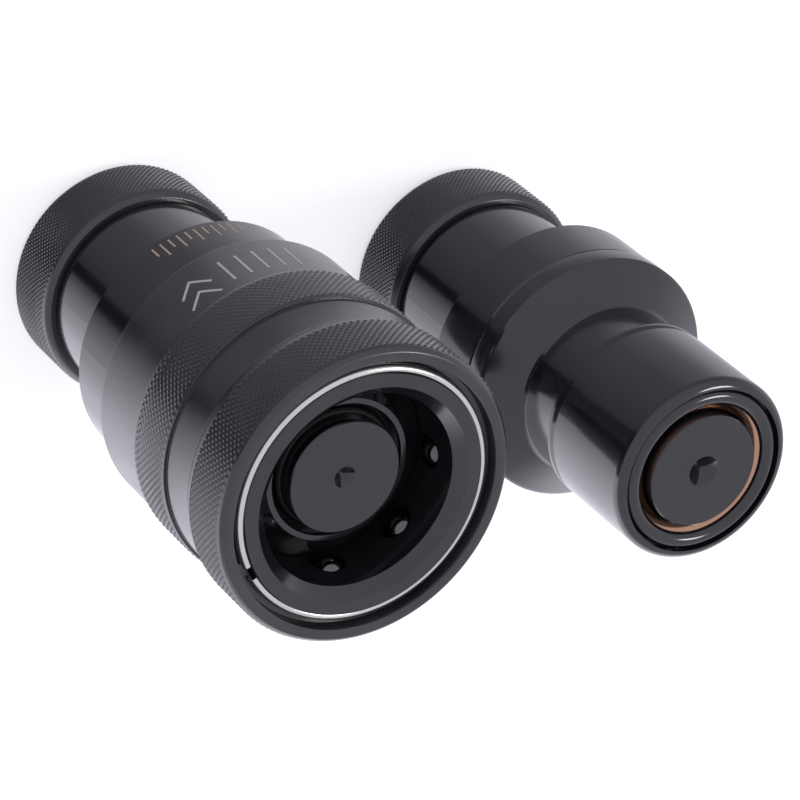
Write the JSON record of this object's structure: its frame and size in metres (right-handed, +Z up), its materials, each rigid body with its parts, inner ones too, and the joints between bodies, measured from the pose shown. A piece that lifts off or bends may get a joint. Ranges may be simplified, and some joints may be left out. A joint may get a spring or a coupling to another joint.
{
  "type": "liquid cooling quick coupling",
  "caption": "Uncoupled pair of flat-face quick coupling halves for coolant hose, standing on their nuts: a socket with a knurled release sleeve and ball lock, and a plug with a poppet.",
  "frame": {"origin": "middle of the pair's footprint on the floor, under the line between the two axes", "axes": "+X from the plug towards the socket, +Y away from the picture's near side, +Z up along both axes, towards the mating faces"},
  "size_m": [0.0592, 0.0264, 0.045],
  "materials": {
    "body": "satin black hard anodised",
    "sleeve": "satin black hard anodised, knurled bands",
    "nut": "satin black hard anodised, knurled rim",
    "ring": "bright spring wire",
    "ball": "polished bearing balls",
    "spring": "drawn spring wire",
    "seal": "matt black"
  },
  "bodies": {
    "halves": {"socket_hose_adapter": "body", "socket_adapter_seal": "seal", "socket_body": "body", "bore_seal": "seal", "retaining_ring": "ring", "valve_stem": "body", "stem_seal": "seal", "sleeve_spring": "spring", "valve_spring": "spring", "plug_hose_adapter": "body", "plug_adapter_seal": "seal", "plug_rear_housing": "body", "plug_joint_seal": "seal", "plug_body": "body", "poppet_spring": "spring"},
    "sleeve": {"release_sleeve": "sleeve"},
    "socket_valve": {"valve_sleeve": "body", "valve_sleeve_seal": "seal"},
    "plug_valve": {"poppet": "body", "poppet_seal": "seal"},
    "nut_of_socket": {"socket_nut": "nut"},
    "nut_of_plug": {"plug_nut": "nut"},
    "ball_1": {"lock_ball_1": "ball"},
    "ball_2": {"lock_ball_2": "ball"},
    "ball_3": {"lock_ball_3": "ball"},
    "ball_4": {"lock_ball_4": "ball"},
    "ball_5": {"lock_ball_5": "ball"},
    "ball_6": {"lock_ball_6": "ball"},
    "ball_7": {"lock_ball_7": "ball"},
    "ball_8": {"lock_ball_8": "ball"}
  },
  "joints": [
    {"name": "sleeve_slide", "type": "slide", "parent": "halves", "child": "sleeve", "axis": [0, 0, 1], "range_m": [-0.0022, 0], "stiffness_N_per_m": 1800, "springref_m": 0.0025, "deforming": ["sleeve_spring"]},
    {"name": "valve_slide", "type": "slide", "parent": "halves", "child": "socket_valve", "axis": [0, 0, 1], "range_m": [-0.0135, 0], "stiffness_N_per_m": 300, "springref_m": 0.006, "deforming": ["valve_spring"]},
    {"name": "poppet_slide", "type": "slide", "parent": "halves", "child": "plug_valve", "axis": [0, 0, 1], "range_m": [-0.01485, 0], "stiffness_N_per_m": 300, "springref_m": 0.006, "deforming": ["poppet_spring"]},
    {"name": "socket_nut_turn", "type": "hinge", "parent": "halves", "child": "nut_of_socket", "pos_m": [0.01642, 0, 0.00325], "axis": [0, 0, -1], "range_deg": [0, 720]},
    {"name": "plug_nut_turn", "type": "hinge", "parent": "halves", "child": "nut_of_plug", "pos_m": [-0.01827, 0, 0.00325], "axis": [0, 0, -1], "range_deg": [0, 720]},
    {"name": "ball_1_slide", "type": "slide", "parent": "halves", "child": "ball_1", "axis": [0.9877, 0.1564, 0], "range_m": [0, 0.0006]},
    {"name": "ball_2_slide", "type": "slide", "parent": "halves", "child": "ball_2", "axis": [0.5878, 0.809, 0], "range_m": [0, 0.0006]},
    {"name": "ball_3_slide", "type": "slide", "parent": "halves", "child": "ball_3", "axis": [-0.1564, 0.9877, 0], "range_m": [0, 0.0006]},
    {"name": "ball_4_slide", "type": "slide", "parent": "halves", "child": "ball_4", "axis": [-0.809, 0.5878, 0], "range_m": [0, 0.0006]},
    {"name": "ball_5_slide", "type": "slide", "parent": "halves", "child": "ball_5", "axis": [-0.9877, -0.1564, 0], "range_m": [0, 0.0006]},
    {"name": "ball_6_slide", "type": "slide", "parent": "halves", "child": "ball_6", "axis": [-0.5878, -0.809, 0], "range_m": [0, 0.0006]},
    {"name": "ball_7_slide", "type": "slide", "parent": "halves", "child": "ball_7", "axis": [0.1564, -0.9877, 0], "range_m": [0, 0.0006]},
    {"name": "ball_8_slide", "type": "slide", "parent": "halves", "child": "ball_8", "axis": [0.809, -0.5878, 0], "range_m": [0, 0.0006]}
  ],
  "couplings": [
    {"joint": "ball_1_slide", "follows": "sleeve_slide", "ratio": -0.2727},
    {"joint": "ball_2_slide", "follows": "sleeve_slide", "ratio": -0.2727},
    {"joint": "ball_3_slide", "follows": "sleeve_slide", "ratio": -0.2727},
    {"joint": "ball_4_slide", "follows": "sleeve_slide", "ratio": -0.2727},
    {"joint": "ball_5_slide", "follows": "sleeve_slide", "ratio": -0.2727},
    {"joint": "ball_6_slide", "follows": "sleeve_slide", "ratio": -0.2727},
    {"joint": "ball_7_slide", "follows": "sleeve_slide", "ratio": -0.2727},
    {"joint": "ball_8_slide", "follows": "sleeve_slide", "ratio": -0.2727}
  ]
}
